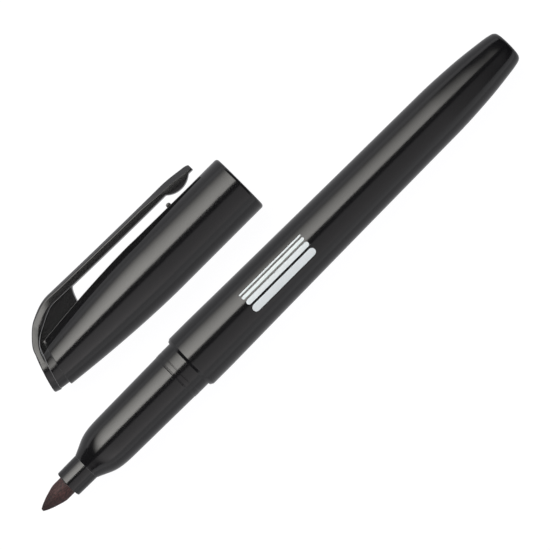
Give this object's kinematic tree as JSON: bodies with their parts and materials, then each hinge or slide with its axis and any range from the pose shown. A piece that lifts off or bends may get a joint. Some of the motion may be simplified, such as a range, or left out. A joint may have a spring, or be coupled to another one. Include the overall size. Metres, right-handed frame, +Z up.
{
  "type": "felt tip marker",
  "caption": "Bullet-nib felt tip marker with an ink barrel and a push-on cap with a pocket clip, lying open with the cap beside the pen.",
  "frame": {"origin": "middle of the bottom face of the box round the pen and its cap, on the surface they lie on", "axes": "+X along the pen from the writing tip to the tail, +Y from the pen towards the cap and its clip, +Z up"},
  "size_m": [0.128, 0.035, 0.013],
  "materials": {
    "barrel_plastic": "injection-moulded black polypropylene, gloss",
    "section_plastic": "injection-moulded black polypropylene, gloss",
    "cap_plastic": "injection-moulded black polypropylene, gloss",
    "clip_plastic": "injection-moulded black polypropylene, gloss",
    "felt": "pressed polyester felt soaked with ink",
    "reservoir_fibre": "bonded polyester fibre soaked with ink",
    "film": "thin polypropylene film",
    "breather": "extruded polyethylene",
    "liner": "soft moulded polyethylene",
    "print_ink": "silver pad-printing ink"
  },
  "bodies": {
    "pen": {"barrel": "barrel_plastic", "front_section": "section_plastic", "nib": "felt", "ink_reservoir": "reservoir_fibre", "reservoir_film": "film", "breather_tube": "breather"},
    "cap": {"cap_shell": "cap_plastic", "inner_seal": "liner", "clip_base": "clip_plastic"},
    "clip": {"clip_arm": "clip_plastic"}
  },
  "joints": [
    {"name": "cap_pull", "type": "slide", "parent": "pen", "child": "cap", "axis": [-1, 0, 0], "range_m": [0, 0.09]},
    {"name": "clip_flex", "type": "hinge", "parent": "cap", "child": "clip", "pos_m": [-0.0278, 0.01633, 0.00648], "axis": [0, 0, 1], "range_deg": [0, 5], "stiffness_Nm_per_rad": 0.6}
  ]
}
